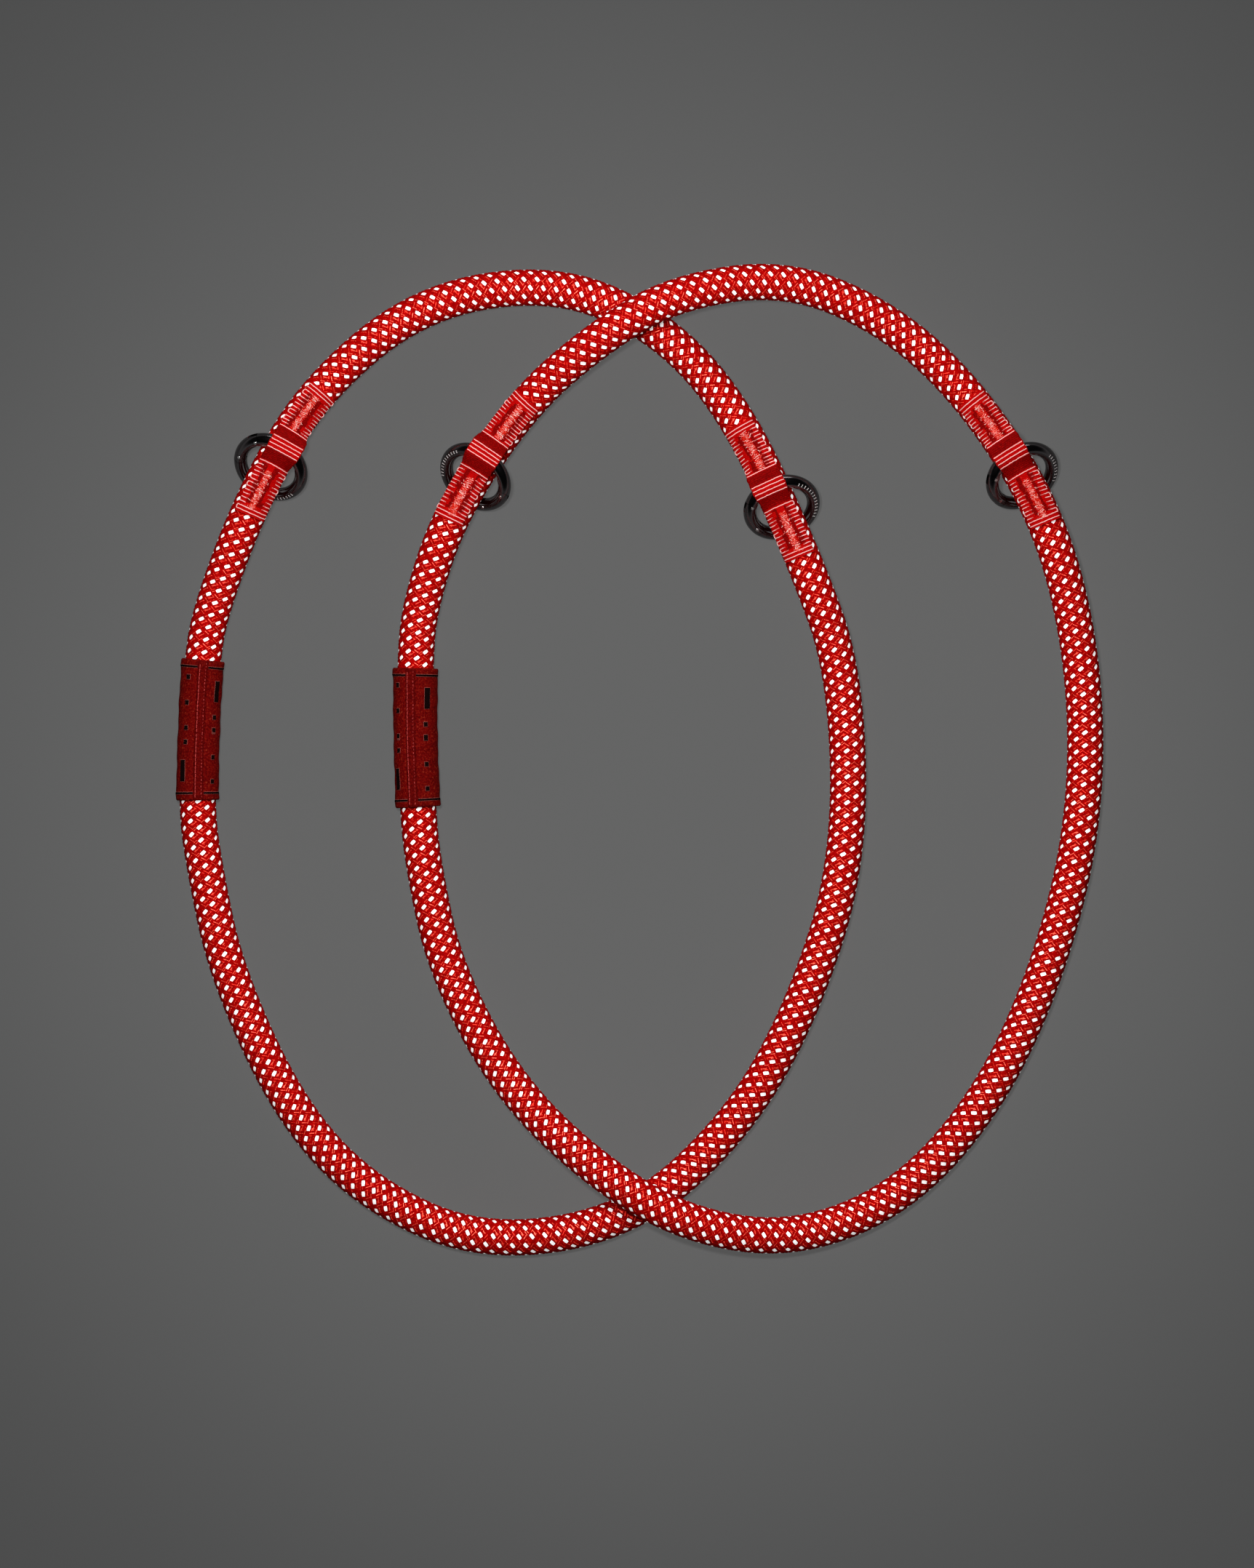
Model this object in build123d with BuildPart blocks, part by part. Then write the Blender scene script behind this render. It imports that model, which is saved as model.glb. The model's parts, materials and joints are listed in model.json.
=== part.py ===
"""Pair of closed rope loops with spring-gate rings, in millimetres, +Z up.

Each loop is one length of braided rope whose two ends butt together under a sewn label
sleeve. Two short webbing tapes are sewn along each loop. The middle of a tape stands up
as a tunnel, and the top wire of a spring-gate ring passes through that tunnel while the
rest of the ring goes round the rope. Loop b lies across the top of loop a.
The origin is on the table, at the middle of the pair's outline.
"""

from build123d import *
from math import cos, degrees, pi, radians, sin, tan
import os

# Rope
rope_radius = 5.0
sheath_bore_radius = 3.2
core_radius = 3.15
butt_gap = 0.4                  # between the rope's two ends, inside the sleeve
arc_share = 0.45                # of the shorter run, used up by each bend of a route

# Splice wrap and label sleeve
wrap_inner_radius = 5.03
wrap_outer_radius = 5.3
wrap_half_length = 14.0
sleeve_inner_radius = 5.42
sleeve_outer_radius = 5.98
sleeve_half_length = 19.5
pleat_outer_radius = 6.5
pleat_half_angle = 10.0
seam_thread_radius = 6.52       # underside of the two rows of stitches on the pleat
seam_thread_height = 0.16
seam_thread_half_angle = 1.4
seam_thread_offset = 7.0        # degrees either side of the pleat's middle

# Webbing tape and its bartacks
tape_inner_radius = 5.1
tape_thickness = 0.8
tape_width = 10.0
tape_half_length = 20.0
tape_slope_end = 6.4            # where the tunnel's slope comes down to the rope
tape_crest_half_length = 2.6
tape_crest_radius = 28.0        # crosswise crown of the tape over the wire
bartack_height = 0.4
bartack_half_angle = 11.0
bartack_start = 6.9
bartack_end = 18.2

# Spring-gate ring
ring_radius = 9.0               # to the middle of the wire
wire_radius = 1.8
tape_clearance = 0.4            # between the wire and the tape over it
groove_radius = 2.7             # of the dent that the wire presses into the rope
groove_swing = 40.0             # middle of the ring's swing about its top wire

# Gate, on the side of the ring that faces its plane's +X
pin_angle = 26.0                # of each pin, from the gate's middle
pin_radius = 0.5
pin_half_length = 1.8
pin_hole_radius = 0.55
hinge_reach = 1.75              # knuckle of the gate round the pivot pin
latch_reach = 9.3               # free end of the gate, from the pivot pin
seam = 0.15
tongue_half_thickness = 0.55
tongue_half_height = 1.3
tongue_overlap_angle = 15.0     # how far a tongue runs back into its shoulder
nose_angle = 7.0                # how far the nose runs past the latch pin
slot_half_width = 0.65
hinge_slot_radius = 1.85
latch_slot_start = 2.5
notch_half_width = 0.6
spring_bore_radius = 0.75
spring_bore_x = 8.85
spring_bore_bottom = -1.6
spring_bore_top = 2.6
spring_radius = 0.52
spring_wire_radius = 0.1
spring_pitch = 0.62
spring_length = 3.7

# Routes: each loop goes up from the middle of its sleeve and comes back to it. Each
# ring's tunnel is at the middle of a run, and loop b crosses loop a at the middle of a
# run, with both of that run's points at the height of the crossing. The table's middle
# is taken off every point.
table_middle = (-0.08, -0.05)
routes = {
    "a": [
        (-121.0, 7.5, 6.0),
        (-119.0, 38.5, 6.0),
        (-106.0, 72.0, 10.0),
        (-90.0, 101.0, 5.0),
        (-60.5, 126.0, 5.0),
        (-23.5, 132.0, 5.0),
        (5.0, 120.0, 5.0),
        (26.5, 97.0, 5.0),
        (46.0, 54.0, 10.1),
        (57.0, 23.0, 5.0),
        (58.0, -27.5, 5.0),
        (45.5, -67.5, 5.0),
        (27.5, -100.0, 5.0),
        (-2.0, -127.0, 5.0),
        (-42.5, -133.5, 5.0),
        (-74.5, -119.5, 5.0),
        (-96.0, -96.5, 5.0),
        (-113.5, -58.5, 5.0),
        (-122.5, -17.0, 6.0),
    ],
    "b": [
        (-61.0, 5.5, 6.0),
        (-62.0, 39.0, 6.0),
        (-51.5, 68.5, 9.6),
        (-32.0, 98.0, 7.0),
        (-11.5, 116.0, 15.4),
        (9.5, 128.5, 15.4),
        (40.5, 133.0, 8.0),
        (68.5, 121.5, 5.0),
        (91.5, 100.5, 5.0),
        (112.5, 67.0, 10.4),
        (122.5, 28.0, 5.0),
        (123.0, -15.0, 5.0),
        (113.5, -55.5, 5.0),
        (97.0, -92.5, 5.0),
        (73.0, -120.0, 5.0),
        (43.5, -132.0, 8.0),
        (14.5, -128.5, 15.4),
        (-10.5, -114.5, 15.4),
        (-35.5, -90.5, 8.0),
        (-53.5, -57.5, 5.0),
        (-60.5, -21.5, 6.0),
    ],
}

# Stations: the loop; the route points on the side that the ring leans to and on the
# other side; the ring's lean from the table, its turn about the vertical, its slip along
# the tunnel and its gate's place; the tape's roll about the rope and its sideways shift.
stations = {
    "a1": dict(loop="a", low=2, high=3, lean=42, turn=-2.5, slip=0.4, gate=165, roll=-11, shift=-1.4),
    "a2": dict(loop="a", low=8, high=7, lean=42, turn=-4.0, slip=0.7, gate=175, roll=9, shift=0.9),
    "b1": dict(loop="b", low=2, high=3, lean=46, turn=-6.0, slip=1.0, gate=-15, roll=9, shift=0.9),
    "b2": dict(loop="b", low=9, high=8, lean=44, turn=2.0, slip=-0.4, gate=166, roll=2, shift=0.2),
}


def closed_route(points):
    """The route from one rope end round to the other, with the butt gap between them."""
    middle, *others = [Vector(*point) - Vector(*table_middle) for point in points]
    start = middle + (others[0] - middle).normalized() * (butt_gap / 2)
    end = middle + (others[-1] - middle).normalized() * (butt_gap / 2)
    return [start] + others + [end]


def bends(points):
    """Radius and turn, in radians, of the arc at each inner point of a route."""
    found = []
    for before, point, after in zip(points, points[1:], points[2:]):
        run_in, run_out = point - before, after - point
        turn = radians(run_in.get_angle(run_out))
        reach = arc_share * min(run_in.length, run_out.length)
        found.append((reach / tan(turn / 2), turn))
    return found


def length_to_run(points, run):
    """Length along the rope from its start to the middle of one of the route's runs."""
    runs = [(after - before).length for before, after in zip(points, points[1:])]
    saved = sum(2 * radius * tan(turn / 2) - radius * turn for radius, turn in bends(points)[:run])
    return sum(runs[:run]) + runs[run] / 2 - saved


class Rope:
    """One loop's route, its line of runs and arcs, and frames along that line."""

    def __init__(self, name):
        self.points = closed_route(routes[name])
        radii = [radius for radius, turn in bends(self.points)]
        with BuildLine() as line:
            FilletPolyline(*self.points, radius=radii)
        self.line = line.wire()
        self.length = self.line.length
        print(f"loop {name}: rope {self.length:.1f} mm, bend radii",
              " ".join(f"{radius:.0f}" for radius in radii))

    def frame(self, distance):
        """Cross-section plane at a distance along the rope: +X to its left, +Y upwards."""
        distance = distance % self.length
        tangent = self.line.tangent_at(distance, position_mode=PositionMode.LENGTH)
        place = self.line.position_at(distance, position_mode=PositionMode.LENGTH)
        return Plane(origin=place, x_dir=Vector(0, 0, 1).cross(tangent), z_dir=tangent)


class Station:
    """Where a ring hangs in its tape: frames for the ring, its gate and the tape."""

    def __init__(self, name):
        self.__dict__.update(stations[name])
        self.rope = ropes[self.loop]
        low, high = self.rope.points[self.low], self.rope.points[self.high]
        first = min(self.low, self.high)
        self.distance = length_to_run(self.rope.points, first)
        self.forward = 1 if self.high > self.low else -1
        lean_way = Vector(low.X - high.X, low.Y - high.Y, 0).normalized()
        aside = lean_way.cross(Vector(0, 0, -1))
        drop = 2 * ring_radius * sin(radians(self.lean))
        middle = (low + high) / 2
        top = Vector(middle.X, middle.Y, wire_radius + drop) + aside * self.slip
        self.top = top
        self.axis = aside.rotate(Axis.Z, self.turn)
        self.lean_way = lean_way.rotate(Axis.Z, self.turn)

    def ring_plane(self, swing=0.0, spin=0.0):
        """The ring's own plane, with +Y towards the tunnel, swung about the top wire."""
        lean, spin = radians(self.lean + swing), radians(spin)
        inward = self.lean_way * cos(lean) - Vector(0, 0, 1) * sin(lean)
        return Plane(
            origin=self.top + inward * ring_radius,
            x_dir=self.axis * cos(spin) - inward * sin(spin),
            z_dir=inward.cross(self.axis),
        )

    def tape_frame(self, offset):
        """Cross-section plane of the rope, offset mm from the tunnel, away from the lean."""
        plane = self.rope.frame(self.distance + self.forward * offset)
        if self.forward < 0:
            plane = Plane(origin=plane.origin, x_dir=plane.x_dir * -1, z_dir=plane.z_dir * -1)
        return plane


def band(plane, radius, thickness, half_angle, centre=(0.0, 0.0), roll=0.0):
    """Sketch of a curved strip's cross-section, crowned towards the plane's +Y."""
    with BuildSketch(plane) as strip:
        with BuildLine():
            start = 90 - half_angle - roll
            inner = CenterArc(centre, radius, start, 2 * half_angle)
            outer = CenterArc(centre, radius + thickness, start, 2 * half_angle)
            Line(inner @ 0, outer @ 0)
            Line(inner @ 1, outer @ 1)
        make_face()
    return strip.sketch


def half_angle_of(width, radius):
    return degrees(width / radius / 2)


def spread(start, end, count):
    return [start + (end - start) * step / (count - 1) for step in range(count)]


# Rope: a braided sheath round a core, one of each in a loop
def make_sheath(name):
    rope = ropes[name]
    with BuildPart() as sheath:
        with BuildSketch(rope.line ^ 0):
            Circle(rope_radius)
            Circle(sheath_bore_radius, mode=Mode.SUBTRACT)
        sweep(path=rope.line)
        section = pi * (rope_radius**2 - sheath_bore_radius**2)
        share = sheath.part.volume / (section * rope.length)
        print(f"loop {name}: sheath volume is {share:.4f} of its section times its length")
        for station in places.values():
            if station.loop == name:
                with Locations(station.ring_plane(groove_swing)):
                    Torus(ring_radius, groove_radius, mode=Mode.SUBTRACT)
    return sheath.part


def make_core(name):
    rope = ropes[name]
    with BuildPart() as core:
        with BuildSketch(rope.line ^ 0):
            Circle(core_radius)
        sweep(path=rope.line)
    return core.part


# Splice: a wrap over the butted ends, under the label sleeve
def make_tube(name, inner, outer, half_length):
    rope = ropes[name]
    offsets = spread(-half_length, half_length, 5)
    with BuildPart() as tube:
        for offset in offsets:
            with BuildSketch(rope.frame(offset)):
                Circle(outer)
        loft(ruled=True)
        for offset in offsets:
            with BuildSketch(rope.frame(offset)):
                Circle(inner)
        loft(ruled=True, mode=Mode.SUBTRACT)
    return tube.part


def make_strips(planes, radius, thickness, half_angle, turns):
    """Curved strips along the planes, one at each turn about their +Z."""
    with BuildPart() as strips:
        for turn in turns:
            loft([band(plane, radius, thickness, half_angle, roll=turn) for plane in planes], ruled=True)
    return strips.part


def make_sleeve(name):
    planes = [ropes[name].frame(offset) for offset in spread(-sleeve_half_length, sleeve_half_length, 5)]
    with BuildPart() as sleeve:
        add(make_tube(name, sleeve_inner_radius, sleeve_outer_radius, sleeve_half_length))
        rib = pleat_outer_radius - sleeve_inner_radius - 0.1
        add(make_strips(planes, pleat_outer_radius - rib, rib, pleat_half_angle, [0]))
    return sleeve.part


def make_seam(name):
    planes = [ropes[name].frame(offset) for offset in spread(1 - sleeve_half_length, sleeve_half_length - 1, 5)]
    turns = [-seam_thread_offset, seam_thread_offset]
    return make_strips(planes, seam_thread_radius, seam_thread_height, seam_thread_half_angle, turns)


# Webbing tape with its tunnel, and the bartacks that sew it down
tape_wing = spread(tape_slope_end, tape_half_length, 5)
tape_crest = [-tape_crest_half_length, tape_crest_half_length]
tape_offsets = [-offset for offset in reversed(tape_wing)] + tape_crest + tape_wing


def make_tape(station):
    flat_angle = half_angle_of(tape_width, tape_inner_radius + tape_thickness / 2)
    crest_angle = half_angle_of(tape_width, tape_crest_radius + tape_thickness / 2)
    sections = []
    for offset in tape_offsets:
        plane = station.tape_frame(offset)
        if abs(offset) > tape_crest_half_length:
            section = band(plane, tape_inner_radius, tape_thickness, flat_angle, roll=station.roll)
        else:
            underside = station.top.Z + wire_radius + tape_clearance - plane.origin.Z
            centre = (station.shift, underside - tape_crest_radius)
            section = band(plane, tape_crest_radius, tape_thickness, crest_angle, centre=centre)
        sections.append(section)
    with BuildPart() as tape:
        loft(sections, ruled=True)
    return tape.part


def make_bartacks(station):
    underside = tape_inner_radius + tape_thickness
    with BuildPart() as bartacks:
        for side in (-1, 1):
            planes = [station.tape_frame(side * offset) for offset in spread(bartack_start, bartack_end, 3)]
            add(make_strips(planes, underside, bartack_height, bartack_half_angle, [station.roll]))
    return bartacks.part


# Spring-gate ring, built in a plane whose +X runs through the middle of the gate
pivot = (ring_radius * cos(radians(pin_angle)), ring_radius * sin(radians(pin_angle)))
latch = (pivot[0], -pivot[1])


def wedge(start, end):
    """Keeps the part of a sketch between two angles about the ring's middle."""
    far = 4 * ring_radius
    corners = [(far * cos(radians(angle)), far * sin(radians(angle))) for angle in spread(start, end, 3)]
    Polygon((0, 0), *corners, align=None, mode=Mode.INTERSECT)


def make_ring_body(plane):
    with BuildPart(plane) as body:
        Torus(ring_radius, wire_radius)
        with BuildSketch(plane):
            with Locations(pivot):
                Circle(latch_reach + seam)
            wedge(pin_angle - 120, pin_angle)
            with Locations(pivot):
                Circle(hinge_reach + seam)
        extrude(amount=2 * wire_radius, both=True, mode=Mode.SUBTRACT)
        with BuildSketch(plane):
            Circle(ring_radius + tongue_half_height)
            Circle(ring_radius - tongue_half_height, mode=Mode.SUBTRACT)
            wedge(pin_angle, pin_angle + tongue_overlap_angle)
            with Locations(pivot):
                Circle(tongue_half_height)
                Circle(pin_hole_radius, mode=Mode.SUBTRACT)
        extrude(amount=tongue_half_thickness, both=True)
        with BuildSketch(plane):
            Circle(ring_radius + tongue_half_height)
            Circle(ring_radius - tongue_half_height, mode=Mode.SUBTRACT)
            wedge(-pin_angle - tongue_overlap_angle, -pin_angle + nose_angle)
            with Locations(latch):
                Circle(notch_half_width, mode=Mode.SUBTRACT)
            with Locations((latch[0] - ring_radius / 2, latch[1])):
                Rectangle(ring_radius, 2 * notch_half_width, mode=Mode.SUBTRACT)
        extrude(amount=tongue_half_thickness, both=True)
    return body.part


def make_gate(plane):
    with BuildPart(plane) as gate:
        Torus(ring_radius, wire_radius)
        with BuildSketch(plane):
            with Locations(pivot):
                Circle(latch_reach)
            wedge(pin_angle - 120, pin_angle)
            with Locations(pivot):
                Circle(hinge_reach)
        extrude(amount=2 * wire_radius, both=True, mode=Mode.INTERSECT)
        with BuildSketch(plane):
            with Locations(pivot):
                Circle(hinge_slot_radius)
            with Locations((pivot[0], -latch_slot_start - ring_radius / 2)):
                Rectangle(ring_radius, ring_radius)
        extrude(amount=slot_half_width, both=True, mode=Mode.SUBTRACT)
        with BuildSketch(plane):
            with Locations(pivot, latch):
                Circle(pin_radius)
        extrude(amount=2 * wire_radius, both=True, mode=Mode.SUBTRACT)
        with Locations(Location((spring_bore_x, spring_bore_bottom, 0), (-90, 0, 0))):
            depth = spring_bore_top - spring_bore_bottom
            align = (Align.CENTER, Align.CENTER, Align.MIN)
            Cylinder(spring_bore_radius, depth, align=align, mode=Mode.SUBTRACT)
    return gate.part


def make_pin(plane, spot):
    with BuildPart(plane) as pin:
        with Locations((spot[0], spot[1], 0)):
            Cylinder(pin_radius, 2 * pin_half_length)
        chamfer(pin.edges().filter_by(GeomType.CIRCLE), 0.08)
    return pin.part


def make_spring(plane):
    bottom = Vector(spring_bore_x, spring_bore_bottom + spring_wire_radius, 0)
    centre = plane.from_local_coords(bottom)
    height = spring_length - 2 * spring_wire_radius
    with BuildPart() as spring:
        with BuildLine() as coil:
            Helix(spring_pitch, height, spring_radius, center=centre, direction=plane.y_dir)
        with BuildSketch(coil.line ^ 0):
            Circle(spring_wire_radius)
        sweep(path=coil.line, is_frenet=True)
    return spring.part


ropes = {name: Rope(name) for name in routes}
places = {name: Station(name) for name in stations}
pieces = {}
for name in ropes:
    pieces[f"rope_sheath_{name}"] = make_sheath(name)
    pieces[f"rope_core_{name}"] = make_core(name)
    pieces[f"splice_wrap_{name}"] = make_tube(name, wrap_inner_radius, wrap_outer_radius, wrap_half_length)
    pieces[f"label_sleeve_{name}"] = make_sleeve(name)
    pieces[f"label_seam_{name}"] = make_seam(name)
for name, station in places.items():
    gate_plane = station.ring_plane(spin=station.gate)
    pieces[f"tape_{name}"] = make_tape(station)
    pieces[f"bartacks_{name}"] = make_bartacks(station)
    pieces[f"ring_body_{name}"] = make_ring_body(gate_plane)
    pieces[f"gate_{name}"] = make_gate(gate_plane)
    pieces[f"pivot_pin_{name}"] = make_pin(gate_plane, pivot)
    pieces[f"latch_pin_{name}"] = make_pin(gate_plane, latch)
    pieces[f"gate_spring_{name}"] = make_spring(gate_plane)

os.makedirs("parts", exist_ok=True)
for name, part in pieces.items():
    part.label = name
    export_step(part, f"parts/{name}.step")
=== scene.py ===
"""Looks for a pair of closed braided rope loops with spring-gate rings, under a flash.

Lengths are in metres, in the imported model's frame: +Z up from the table, +Y towards the
ringed ends, +X from loop a towards loop b. Names of sizes end in _MM where they are
written in millimetres.
"""

import json
import math
import random
from functools import partial

import bpy
import numpy as np
from mathutils import Matrix, Vector
from mathutils.bvhtree import BVHTree


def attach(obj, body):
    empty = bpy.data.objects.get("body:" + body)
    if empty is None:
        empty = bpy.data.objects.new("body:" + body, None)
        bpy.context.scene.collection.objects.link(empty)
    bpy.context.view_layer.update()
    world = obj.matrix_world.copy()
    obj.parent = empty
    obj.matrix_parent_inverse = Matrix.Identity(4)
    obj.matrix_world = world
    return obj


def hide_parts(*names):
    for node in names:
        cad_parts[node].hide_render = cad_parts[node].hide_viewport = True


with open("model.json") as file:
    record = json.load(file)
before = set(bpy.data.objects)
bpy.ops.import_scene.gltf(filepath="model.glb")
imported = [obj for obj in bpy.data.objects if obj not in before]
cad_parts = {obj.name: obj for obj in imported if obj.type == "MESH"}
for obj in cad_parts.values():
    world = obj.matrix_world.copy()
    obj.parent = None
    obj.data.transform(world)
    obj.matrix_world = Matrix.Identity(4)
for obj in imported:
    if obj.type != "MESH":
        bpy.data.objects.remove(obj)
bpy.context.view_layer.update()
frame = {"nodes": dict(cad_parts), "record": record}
record = frame["record"]

MM = 0.001

# The camera's framing of the table, through a long lens straight above it
VIEW_CENTRE_MM = (-3.2, -6.5)
VIEW_WIDTH_MM = 344.8
VIEW_PLANE_MM = 6.0  # height of the plane that is VIEW_WIDTH_MM wide
CAMERA_HEIGHT_MM = 2600.0

# Lamps: place and size in metres, power in watts, and whether they light the floor
LAMPS = {
    "flash": ((-0.10, 0.12, 1.5), (0.10, 0.10), 7.0, True),
    "softbox": ((-0.06, 0.24, 0.62), (0.26, 0.26), 3.0, False),
    "strip": ((0.15, 1.35, 0.42), (1.3, 0.16), 3.5, False),
}

# Floor and studio
FLOOR_DROP_MM = 0.45  # the floor lies this far under the CAD model
FLOOR_GREY = (0.115, 0.115, 0.115)
FLOOR_TINT = (0.985, 1.0, 0.99)
FLOOR_GLOW = (0.093, 0.035)  # its own light, near the middle and far out
FLOOR_FADE = (0.06, 0.34)  # metres from the middle between which the glow fades
WALL_GREY = (0.25, 0.25, 0.25)
CEILING_GREY = (0.006, 0.006, 0.007)
WALL_TOP, CEILING_FROM = 0.08, 0.26  # heights on a dome of radius 1

# Routes of the two ropes, each from one rope end round to the other
TABLE_MIDDLE_MM = (-0.08, -0.05)
BUTT_GAP_MM = 0.4
ROUTES_MM = {
    "a": [
        (-121.0, 7.5, 6.0), (-120.3, 27.5, 6.0), (-117.2, 43.0, 6.4),
        (-106.0, 72.0, 10.0), (-90.0, 101.0, 5.0), (-60.5, 126.0, 5.0),
        (-23.5, 132.0, 5.0), (5.0, 120.0, 5.0), (26.5, 97.0, 5.0),
        (46.0, 54.0, 10.1), (57.0, 23.0, 5.0), (58.0, -27.5, 5.0),
        (45.5, -67.5, 5.0), (27.5, -100.0, 5.0), (-2.0, -127.0, 5.0),
        (-42.5, -133.5, 5.0), (-74.5, -119.5, 5.0), (-96.0, -96.5, 5.0),
        (-113.5, -58.5, 5.0), (-119.6, -29.0, 5.6), (-121.8, -12.0, 6.0),
    ],
    "b": [
        (-61.4, 5.8, 6.0), (-61.7, 25.5, 6.0), (-60.2, 43.0, 6.3),
        (-51.5, 68.5, 9.6), (-32.0, 98.0, 7.0), (-11.3, 115.6, 15.4),
        (9.6, 128.1, 15.4), (40.5, 133.0, 8.0), (68.5, 121.5, 5.0),
        (91.5, 100.5, 5.0), (112.5, 67.0, 10.4), (122.5, 28.0, 5.0),
        (123.0, -15.0, 5.0), (113.5, -55.5, 5.0), (97.0, -92.5, 5.0),
        (73.0, -120.0, 5.0), (43.5, -132.0, 8.0), (14.7, -128.0, 15.4),
        (-10.2, -114.0, 15.4), (-35.5, -90.5, 8.0), (-53.3, -57.5, 5.0),
        (-59.3, -29.0, 5.6), (-60.9, -13.0, 6.0),
    ],
}

# Braid: two-over-two, 24 strands each way. A row is one step of crossings along the rope.
ROPE_RADIUS_MM = 5.0
BORE_RADIUS_MM = 3.2
ACROSS = 48  # places round the rope, two for each strand of one way
ROW_MM = 0.446
VALLEY_MM = -0.21  # of the surface where strands meet, and at their middles
CREST_MM = 0.04
BRIGHT_VALLEY_MM = -0.20  # reflective floats lie a little deeper than the red ones
BRIGHT_CREST_MM = -0.07
REPEAT = 4  # every fourth strand one way is reflective

# How far the corners of a reflective float spread, to give it squarer ends and to widen it
# with painted glow of the flash round it, both counted along the two ways of the braid
BRIGHT_SPREAD = {
    (0, 0): (-0.08, -0.07), (1, 0): (0.0, -0.18), (2, 0): (-0.10, -0.02),
    (2, 1): (0.08, 0.07), (1, 1): (0.0, 0.18), (0, 1): (0.10, 0.02),
}

# Thin bright filaments between the reflective floats: start and end, counted along the
# two ways of the braid from a float's lower corner, whether dim, and the share left out
TRACERS = [
    (-1.30, 0.80, -0.22, 0.80, 0, 0.5),
    (0.10, 2.84, 2.05, 2.84, 0, 0.08),
    (0.10, 2.84, 0.06, 2.45, 1, 0.08),
    (-0.95, -2.05, -0.95, -0.32, 0, 0.08),
    (-1.32, -2.48, 0.38, -2.48, 0, 0.08),
    (-0.15, -0.86, 0.90, -0.86, 0, 0.08),
    (2.12, -1.40, 2.12, -0.45, 1, 0.08),
    (1.25, 1.72, 1.50, 1.72, 1, 0.08),
]
# The filaments stay on the rope's upper part, where the flash's glints show: their placing paints
# the glints.
UNDERSIDE = 17  # places either side of the bottom without filaments

# Rings, and how the rope is pressed in beside them
RING_RADIUS_MM = 9.0
WIRE_RADIUS_MM = 1.8
SWINGS = (0, 20, 40, 60, 80)  # degrees through which the rope keeps clear of the ring
WIRE_CLEARANCE_MM = 0.06
GATE_CLEARANCE_MM = 0.14
PRESS_STEP_MM = 0.05
PRESS_STEPS = 30

# Webbing tapes
TAPE_INNER_MM = 5.1
TAPE_THICK_MM = 0.8
TAPE_WIDTH_MM = 9.6
TAPE_HALF_MM = 20.0
TAPE_STEP_MM = 0.1  # of the mesh along the tape
TAPE_HALF_ANGLE = TAPE_WIDTH_MM / 2 / (TAPE_INNER_MM + TAPE_THICK_MM / 2)
TAPE_GAP_MM = 0.15  # between the ring's wire and the crest of the tape
SLOPE_START_MM = 1.9
SLOPE_END_MM = 6.6
CREST_BOW_MM = 28.0  # radius of the crest's bow across the tape
# Painted shade on the tunnel's slopes, which get the darker copy of the webbing
SLOPE_SHADE_MM = (1.9, 4.9)  # of the tunnel's slopes, from the middle of the four lines
WEAVE_MM = 0.07  # height of the webbing's own ridges
SELVEDGE_MM = 0.10

# Reflective ribs of the tapes, and the bow that joins two at the selvedge: how far on the
# way from one to the next, and the share across the tape
RIB_PITCH_MM = 1.08
RIBS_FROM_MM = 5.25
RIB_JOINS = [(0.0, 0.92), (0.25, 0.955), (0.5, 0.965), (0.75, 0.955), (1.0, 0.92)]

# Bartacks: where they start and end, on the tape's high side and its low side
TACK_MM = {1: (5.7, 17.3), -1: (7.2, 18.4)}
TACK_HALF_MM = 0.95

# Each ring, on the loop that its name starts with: the route points on its tape's low and
# high side; the tape's roll in degrees and its shift, both to the right as seen from above
# looking to the high side; how far it was sewn towards that side; and the arc of small
# ticks round the ring, in degrees from the right
RINGS = {
    "a1": (3, 4, 11, 1.4, -0.8, (-50, -20)),
    "a2": (9, 8, -9, -0.9, -1.8, (-37, 47)),
    "b1": (3, 4, -9, -0.9, 0.0, (151, 219)),
    "b2": (10, 9, -2, -0.2, -1.9, (-45, 12)),
}

# Label sleeves: half the length, the outer radius, the pleat's roll to the right of the
# top in degrees, and how far the middle of the sleeve lies past the rope's joined ends
SLEEVES = {
    "a": {"half": 19.1, "outer": 5.9, "roll": 4.0, "past": 0.8},
    "b": {"half": 18.9, "outer": 6.2, "roll": -12.0, "past": 0.4},
}
SLEEVE_INNER_MM = 5.3
PLEAT_HEIGHT_MM = 0.34
PLEAT_HALF_MM = 1.2
STITCH_AT_MM = 0.78  # rows of stitches, either side of the pleat's middle
STITCH_DENT_MM = 0.12
GUTTER_MM = 0.16  # dent along the pleat's foot
HEM_MM = 0.10  # rise of the folded ends
TUCK_MM = 0.30  # rounding of the very ends
WAIST_MM = 0.10
SLACK_MM = (0.06, 0.05)  # of the slow and the quick waves in the cloth

# Plain marks on the sleeves, in mm along the sleeve and round it from the pleat
END_STRIPE_IN_MM = 2.0
END_STRIPE_HALF_MM = 0.27
END_STRIPE_PARTS = 6
MARK_BARS = [(10.6, 4.9), (-11.0, -4.9)]
MARK_BAR_HALF = (2.9, 0.85)
MARK_SQUARES = [
    (3.4, 4.4), (-0.1, 4.4), (-7.2, 4.4), (-13.9, 4.4),
    (14.2, -4.1), (7.2, -4.1), (0.3, -4.1), (-3.2, -4.1),
]
MARK_SQUARE_HALF = (0.62, 0.6)
MARK_LAYERS = ((0, 0.0, 0.05), (1, 0.11, 0.025))  # slot, growth and lift

# Rows of stitches: side of the pleat, length of a stitch and the gap after it
STITCH_ROWS = ((-1, 1.0, 0.12), (1, 0.5, 0.42))

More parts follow.
